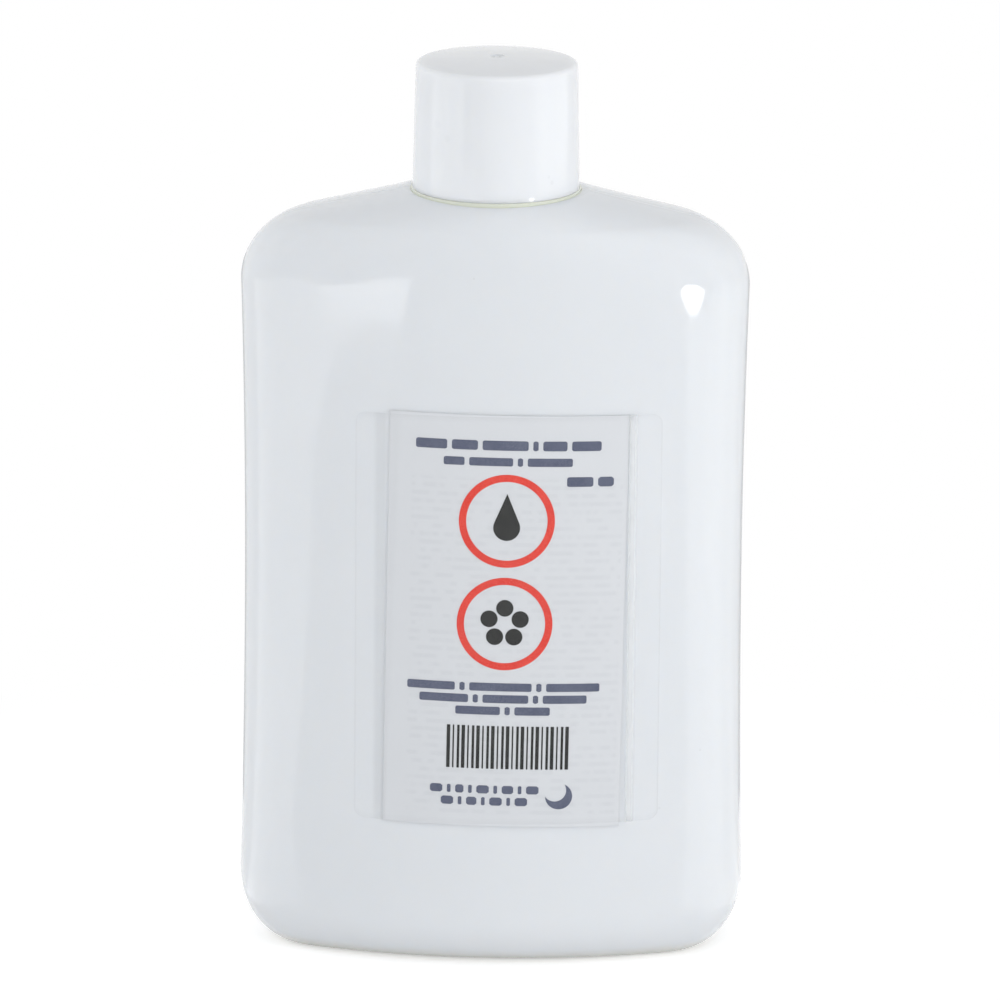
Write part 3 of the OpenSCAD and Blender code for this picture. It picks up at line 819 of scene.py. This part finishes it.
def film_material():
    """Clear glossy film with a painted sheen where it leaves the page at the right, painted shadow where it leaves the
    page at the left, and a greyer, less clear cut rim.
    """
    s = Shader("clear_film")
    x, y, z = s.axes()
    rim = s.add("ShaderNodeAttribute", attribute_name="rim").outputs["Fac"]
    from_middle = s.math("SUBTRACT", x, LEAF_X)
    # Painted sheen: a whiter, less clear strip where the film leaves the page at the right.
    right = s.math("MULTIPLY", s.span(from_middle, TENT_HALF - 0.6 * MM, TENT_HALF + 0.2 * MM),
                   s.span(from_middle, TENT_HALF + 1.5 * MM, TENT_HALF + 0.6 * MM))
    # Painted shadow: a darker strip where the film leaves the page at the left.
    left = s.math("MULTIPLY", s.span(from_middle, -TENT_HALF - 2.0 * MM, -TENT_HALF - 0.8 * MM),
                  s.span(from_middle, -TENT_HALF + 1.2 * MM, -TENT_HALF + 0.2 * MM))
    haze = s.noise(90.0, 2.0)
    alpha = s.span(haze, 0.2, 0.8, 0.012, 0.022)
    alpha = s.math("ADD", alpha, s.math("MULTIPLY", rim, 0.03))
    alpha = s.math("ADD", alpha, s.math("MULTIPLY", right, 0.35))
    alpha = s.math("ADD", alpha, s.math("MULTIPLY", left, 0.05), clamp=True)
    colour = s.mix(s.math("MULTIPLY", left, 0.8), (0.86, 0.88, 0.90, 1), (0.50, 0.52, 0.54, 1))
    colour = s.mix(s.math("MULTIPLY", rim, 0.6), colour, (0.55, 0.57, 0.60, 1))
    s.set(Base_Color=colour, Alpha=alpha, Roughness=s.span(s.noise(300.0), 0.3, 0.7, 0.06, 0.12),
          Normal=s.bump(s.noise(160.0, 2.0), 0.02 * MM))
    s.set(IOR=1.55)
    return s.material


def ink_material(name, dark, light):
    """Matt printed ink that lets a little of the paper's grain through."""
    s = Shader(name)
    grain = s.noise(3200.0, 2.0, 0.7)
    blotch = s.noise(240.0, 2.0)
    tone = s.math("ADD", s.math("MULTIPLY", grain, 0.65), s.math("MULTIPLY", blotch, 0.35))
    s.set(Base_Color=s.mix(s.span(tone, 0.3, 0.75), dark, light), Roughness=s.span(grain, 0.2, 0.8, 0.5, 0.65))
    s.set(Specular_IOR_Level=0.12)
    return s.material


def foam_material():
    """Closed-cell foam: fine pits on a soft white face."""
    s = Shader("foam")
    cells = s.add("ShaderNodeTexVoronoi", {"Vector": s.place, "Scale": 2200.0}).outputs["Distance"]
    tone = s.noise(300.0, 2.0)
    s.set(Base_Color=s.mix(tone, (0.80, 0.80, 0.78, 1), (0.87, 0.87, 0.86, 1)),
          Roughness=s.span(tone, 0.2, 0.8, 0.6, 0.8), Normal=s.bump(cells, 0.04 * MM))
    return s.material


# Stage: floor, lamps, world and camera

FLOOR_FADE = (0.10, 0.20)


def make_floor():
    """A pale floor that keeps the shadow near the bottle and fades into white further out."""
    size = 3.0
    mesh = bpy.data.meshes.new("floor")
    mesh.from_pydata([(-size, -size, 0), (size, -size, 0), (size, size, 0), (-size, size, 0)], [], [(0, 1, 2, 3)])
    s = Shader("floor_paper")
    s.tree.nodes.remove(s.bsdf)
    lit = s.add("ShaderNodeBsdfDiffuse", {"Color": (0.80, 0.80, 0.80, 1)})
    seen = s.add("ShaderNodeEmission", {"Color": (1, 1, 1, 1), "Strength": FLOOR_LIFT})
    both = s.add("ShaderNodeAddShader", {0: lit.outputs[0], 1: seen.outputs[0]})
    white = s.add("ShaderNodeEmission", {"Color": (1, 1, 1, 1), "Strength": 1.0})
    x, y, z = s.axes()
    far = s.math("SQRT", s.math("ADD", s.math("MULTIPLY", x, x), s.math("MULTIPLY", y, y)))
    near_or_far = s.add("ShaderNodeMixShader", {
        0: s.span(far, *FLOOR_FADE), 1: both.outputs[0], 2: white.outputs[0]})
    final = s.add("ShaderNodeMixShader", {0: s.seen_ray(), 1: lit.outputs[0], 2: near_or_far.outputs[0]})
    s.feed(s.out.inputs["Surface"], final.outputs[0])
    mesh.materials.append(s.material)
    floor = bpy.data.objects.new("floor", mesh)
    bpy.context.scene.collection.objects.link(floor)


def direction(azimuth, elevation):
    """Unit vector from the bottle: azimuth 0 is towards -Y, 90 towards +X."""
    a, e = math.radians(azimuth), math.radians(elevation)
    return Vector((math.cos(e) * math.sin(a), -math.cos(e) * math.cos(a), math.sin(e)))


def softbox(name, azimuth, elevation, distance, width, height, power, colour=(1, 1, 1), target=(0, 0, 0.08)):
    """A rectangular lamp that faces the bottle."""
    data = bpy.data.lights.new(name, "AREA")
    data.shape = "RECTANGLE"
    data.size, data.size_y = width, height
    data.energy = power
    data.color = colour
    lamp = bpy.data.objects.new(name, data)
    lamp.location = Vector(target) + direction(azimuth, elevation) * distance
    lamp.rotation_euler = (Vector(target) - lamp.location).to_track_quat("-Z", "Y").to_euler()
    lamp.visible_camera = False
    bpy.context.scene.collection.objects.link(lamp)
    return lamp


FLOOR_LIFT = 0.40
WORLD_LEVEL = 0.64


# Softboxes that light the bottle evenly: azimuth, elevation, distance, width, height, power, colour
SOFTBOXES = {
    "back_left": (-112, 12, 1.1, 0.7, 0.7, 3.6, (1, 1, 1)),
    "front_left": (-40, 12, 1.1, 0.55, 0.7, 0.5, (1, 1, 1)),
    "front": (-5, 12, 1.1, 0.55, 0.7, 3.15, (1, 1, 1)),
    "right": (70, 12, 1.1, 0.9, 0.7, 4.8, (1, 0.99, 0.98)),
}
# Areas of the table that show only in reflections: brightness, then corners as azimuth and distance
TABLE_GLOWS = {
    "glow_patch": (3.1, [(-42, 0.575), (-42, 0.86), (-26, 0.86), (-21, 0.72), (-22, 0.57), (-24, 0.555),
                         (-30, 0.56)]),
    "glow_left": (1.9, [(-45, 1.50), (-42.2, 0.86), (-42, 0.574), (-34, 0.562), (-34, 0.555), (-38, 0.54),
                        (-41, 0.51), (-44, 0.45), (-45, 0.39), (-54, 0.14), (-60, 0.06), (-100, 0.06),
                        (-100, 1.20), (-60, 1.60)]),
    "glow_right": (2.0, [(43.5, 0.56), (45, 0.40), (48, 0.22), (54, 0.10), (60, 0.06), (90, 0.06), (90, 0.80),
                         (55, 0.65)]),
    "glow_back_right": (1.5, [(90, 0.06), (118, 0.06), (118, 0.80), (90, 0.80)]),
    "glow_far_right": (1.9, [(60, 0.84), (90, 0.84), (120, 0.84), (120, 1.20), (90, 1.20), (60, 1.20)]),
}


def make_lamps():
    for name, values in SOFTBOXES.items():
        softbox(name, *values).visible_glossy = False
    spark = softbox("spark", 43, -9.6, 0.12, 0.017, 0.023, 0.010, target=(0.0385, -0.013, 0.133))
    spark.data.shape = "ELLIPSE"
    spark.visible_diffuse = False


def make_card(name, points, faces, level):
    """A plain glowing sheet of the studio that shows only in reflections."""
    mesh = bpy.data.meshes.new(name)
    mesh.from_pydata(points, [], faces)
    s = Shader(name)
    s.tree.nodes.remove(s.bsdf)
    glow = s.add("ShaderNodeEmission", {"Color": (1, 1, 1, 1), "Strength": level})
    s.feed(s.out.inputs["Surface"], glow.outputs[0])
    mesh.materials.append(s.material)
    card = bpy.data.objects.new(name, mesh)
    card.visible_camera = card.visible_diffuse = card.visible_shadow = card.visible_volume_scatter = False
    bpy.context.scene.collection.objects.link(card)


def make_cards():
    """Bright table areas beside the bottle, and a grey wall behind it that draws its outline."""
    for name, (level, corners) in TABLE_GLOWS.items():
        points = [direction(azimuth, 0) * distance + Vector((0, 0, 0.001)) for azimuth, distance in corners]
        make_card(name, points, [tuple(range(len(points)))], level)
    turn = np.linspace(130, 230, 21)
    wall = [direction(azimuth, 0) * 0.12 + Vector((0, 0, z)) for z in (0.001, 0.124) for azimuth in turn]
    make_card("edge_wall", wall, grid_faces(2, len(turn)), 0.55)


def make_world():
    """White to the eye and in reflections, a soft even light otherwise."""
    world = bpy.data.worlds.new("studio")
    world.use_nodes = True
    tree = world.node_tree
    back = tree.nodes["Background"]
    paths = tree.nodes.new("ShaderNodeLightPath").outputs
    seen = tree.nodes.new("ShaderNodeMath")
    seen.operation = "MAXIMUM"
    tree.links.new(paths["Is Camera Ray"], seen.inputs[0])
    tree.links.new(paths["Is Glossy Ray"], seen.inputs[1])
    through = tree.nodes.new("ShaderNodeMath")
    through.operation = "MAXIMUM"
    tree.links.new(seen.outputs[0], through.inputs[0])
    tree.links.new(paths["Is Transmission Ray"], through.inputs[1])
    level = tree.nodes.new("ShaderNodeMapRange")
    tree.links.new(through.outputs[0], level.inputs["Value"])
    level.inputs["To Min"].default_value = WORLD_LEVEL
    level.inputs["To Max"].default_value = 1.0
    tree.links.new(level.outputs["Result"], back.inputs["Strength"])
    back.inputs["Color"].default_value = (1, 1, 1, 1)
    bpy.context.scene.world = world


# The camera's place, found by fitting the bottle's outline
CAMERA_FAR = 1.7
CAMERA_AZIMUTH = 2.213
CAMERA_ELEVATION = 14.70
CAMERA_ROLL = math.radians(0.463)
FOCAL = 8756.8
TARGET = Vector((0, 0, 0.08))
TARGET_PIXEL = (493.16, 542.74)


def make_camera():
    data = bpy.data.cameras.new("camera")
    data.sensor_width = 36.0
    data.lens = FOCAL * data.sensor_width / 1000
    data.clip_end = 20
    camera = bpy.data.objects.new("camera", data)
    back = direction(CAMERA_AZIMUTH, CAMERA_ELEVATION)
    camera.location = TARGET + back * CAMERA_FAR
    camera.rotation_mode = "QUATERNION"
    level = (-back).to_track_quat("-Z", "Y").to_matrix()
    rolled = level @ Matrix.Rotation(CAMERA_ROLL, 3, "Z")
    right = (500 - TARGET_PIXEL[0]) / FOCAL
    up = (TARGET_PIXEL[1] - 500) / FOCAL
    aimed = rolled @ Matrix.Rotation(-right, 3, "Y") @ Matrix.Rotation(up, 3, "X")
    camera.rotation_quaternion = aimed.to_quaternion()
    bpy.context.scene.collection.objects.link(camera)
    bpy.context.scene.camera = camera


def dress_liner():
    """The foam disc keeps its own shape."""
    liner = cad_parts["cap_liner"]
    liner.data.materials.clear()
    liner.data.materials.append(foam_material())


make_camera()
make_world()
make_lamps()
make_floor()
make_cards()
make_bottle()
make_cap()
dress_liner()
make_leaflet()
make_print("slate_bars", slate_shapes(), ink_material("slate_ink", (0.075, 0.088, 0.145, 1), (0.13, 0.145, 0.21, 1)),
           "slate_print")
make_print("red_rings", red_shapes(), ink_material("red_ink", (0.66, 0.035, 0.022, 1), (0.78, 0.075, 0.05, 1)),
           "red_print")
make_print("black_marks", black_shapes(), ink_material("black_ink", (0.012, 0.012, 0.012, 1), (0.03, 0.031, 0.029, 1)),
           "black_print")
make_film()

bpy.context.scene.view_settings.view_transform = "Standard"
bpy.context.view_layer.update()
